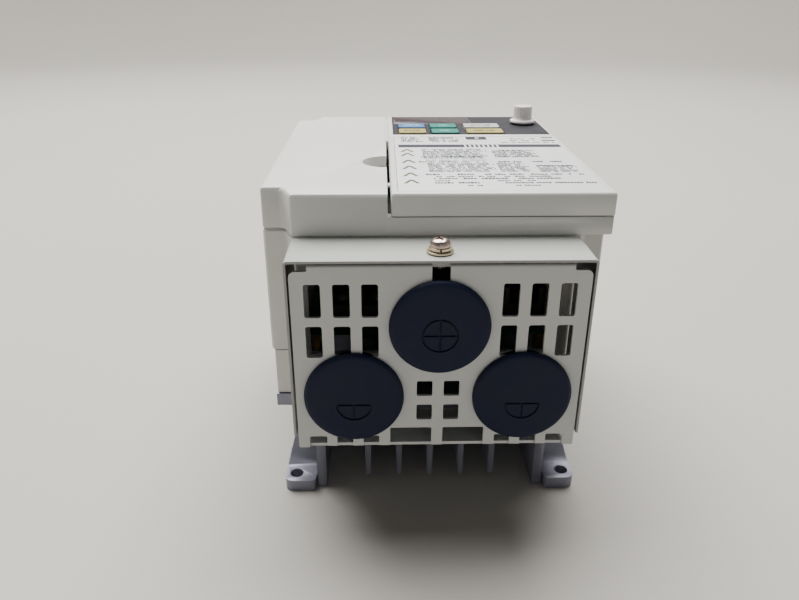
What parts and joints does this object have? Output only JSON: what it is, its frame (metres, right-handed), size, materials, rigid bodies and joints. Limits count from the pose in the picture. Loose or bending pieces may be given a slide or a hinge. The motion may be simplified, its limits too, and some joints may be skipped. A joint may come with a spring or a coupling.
{
  "type": "variable frequency drive",
  "caption": "Compact wall-mounted variable frequency drive with a finned heat sink, a lift-off operator with keys and a knob, and a sheet-metal conduit box closed by rubber plugs.",
  "frame": {"origin": "middle of the drive's footprint, on the surface that its feet rest on", "axes": "+Z from the mounting feet towards the operator panel, +Y from the conduit box towards the drive's top end, +X to the right when the panel is seen from the conduit end"},
  "size_m": [0.108, 0.15, 0.1179],
  "materials": {
    "case": "fine moulded texture, warm light grey",
    "sheet": "satin grey powder coat on bent steel sheet",
    "alloy": "as-cast bluish grey",
    "overlay": "dark purple-grey printed film",
    "window": "smoked red display window",
    "label": "printed polyester label",
    "nylon": "natural nylon",
    "key_blue": "satin blue",
    "key_green": "satin green",
    "key_yellow": "satin yellow",
    "key_grey": "satin grey",
    "knob": "fluted light grey plastic",
    "plug_rubber": "dark navy moulded rubber",
    "membrane": "grey silicone",
    "zinc": "yellow-pink zinc plating",
    "steel": "turned",
    "brass": "turned",
    "copper": "varnished winding and tape",
    "capacitor": "shrink sleeve",
    "board": "solder mask on fibreglass board",
    "terminal_green": "green terminal plastic",
    "black": "black moulded plastic"
  },
  "bodies": {
    "drive": {"board_connector": "nylon", "board_spacer_1": "brass", "board_spacer_2": "brass", "board_spacer_3": "brass", "board_spacer_4": "brass", "bracket_screw_1": "zinc", "bracket_screw_2": "zinc", "case_screw_1": "zinc", "case_screw_2": "zinc", "conduit_bracket": "sheet", "control_board": "board", "control_terminal_block": "terminal_green", "dc_capacitor_1": "capacitor", "dc_capacitor_2": "capacitor", "fault_relay": "black", "heat_sink": "alloy", "lower_case": "case", "main_terminal_block": "black", "middle_case": "case", "module_screw_1": "zinc", "module_screw_2": "zinc", "operator_socket": "black", "power_board": "board", "power_module": "black", "supply_transformer": "copper", "terminal_screw_1": "zinc", "terminal_screw_2": "zinc", "terminal_screw_3": "zinc", "terminal_screw_4": "zinc", "terminal_screw_5": "zinc", "terminal_screw_6": "zinc", "upper_case": "case"},
    "operator": {"operator_housing": "case", "operator_overlay": "overlay", "display_window": "window", "display_module": "black", "key_membrane": "membrane", "operator_board": "board", "operator_back": "case", "operator_plug": "black", "speed_potentiometer": "black"},
    "speed_knob": {"frequency_knob": "knob", "knob_shaft": "steel"},
    "front_cover": {"front_cover": "case", "front_label": "label"},
    "conduit_cover": {"conduit_cover": "sheet", "cover_screw": "zinc", "flat_washer": "zinc", "spring_washer": "zinc"},
    "centre_plug": {"centre_plug": "plug_rubber"},
    "left_plug": {"left_plug": "plug_rubber"},
    "right_plug": {"right_plug": "plug_rubber"},
    "display_key": {"display_key": "key_blue"},
    "up_key": {"up_key": "key_green"},
    "run_key": {"run_key": "key_grey"},
    "data_enter_key": {"data_enter_key": "key_yellow"},
    "down_key": {"down_key": "key_green"},
    "stop_key": {"stop_key": "key_yellow"}
  },
  "joints": [
    {"name": "operator_lift", "type": "slide", "parent": "drive", "child": "operator", "axis": [0, 0, 1], "range_m": [0, 0.025]},
    {"name": "cover_lift", "type": "slide", "parent": "drive", "child": "front_cover", "axis": [0, 0, 1], "range_m": [0, 0.03]},
    {"name": "conduit_cover_lift", "type": "slide", "parent": "drive", "child": "conduit_cover", "axis": [0, 0, 1], "range_m": [0, 0.06]},
    {"name": "speed_knob_turn", "type": "hinge", "parent": "operator", "child": "speed_knob", "pos_m": [0.0452, 0.057, 0.11], "axis": [0, 0, 1], "range_deg": [-150, 150]},
    {"name": "centre_plug_pull", "type": "slide", "parent": "drive", "child": "centre_plug", "axis": [0, -1, 0], "range_m": [0, 0.012]},
    {"name": "left_plug_pull", "type": "slide", "parent": "drive", "child": "left_plug", "axis": [0, -1, 0], "range_m": [0, 0.012]},
    {"name": "right_plug_pull", "type": "slide", "parent": "drive", "child": "right_plug", "axis": [0, -1, 0], "range_m": [0, 0.012]},
    {"name": "display_key_press", "type": "slide", "parent": "operator", "child": "display_key", "axis": [0, 0, -1], "range_m": [0, 0.0006], "stiffness_N_per_m": 800},
    {"name": "up_key_press", "type": "slide", "parent": "operator", "child": "up_key", "axis": [0, 0, -1], "range_m": [0, 0.0006], "stiffness_N_per_m": 800},
    {"name": "run_key_press", "type": "slide", "parent": "operator", "child": "run_key", "axis": [0, 0, -1], "range_m": [0, 0.0006], "stiffness_N_per_m": 800},
    {"name": "data_enter_key_press", "type": "slide", "parent": "operator", "child": "data_enter_key", "axis": [0, 0, -1], "range_m": [0, 0.0006], "stiffness_N_per_m": 800},
    {"name": "down_key_press", "type": "slide", "parent": "operator", "child": "down_key", "axis": [0, 0, -1], "range_m": [0, 0.0006], "stiffness_N_per_m": 800},
    {"name": "stop_key_press", "type": "slide", "parent": "operator", "child": "stop_key", "axis": [0, 0, -1], "range_m": [0, 0.0006], "stiffness_N_per_m": 800}
  ]
}
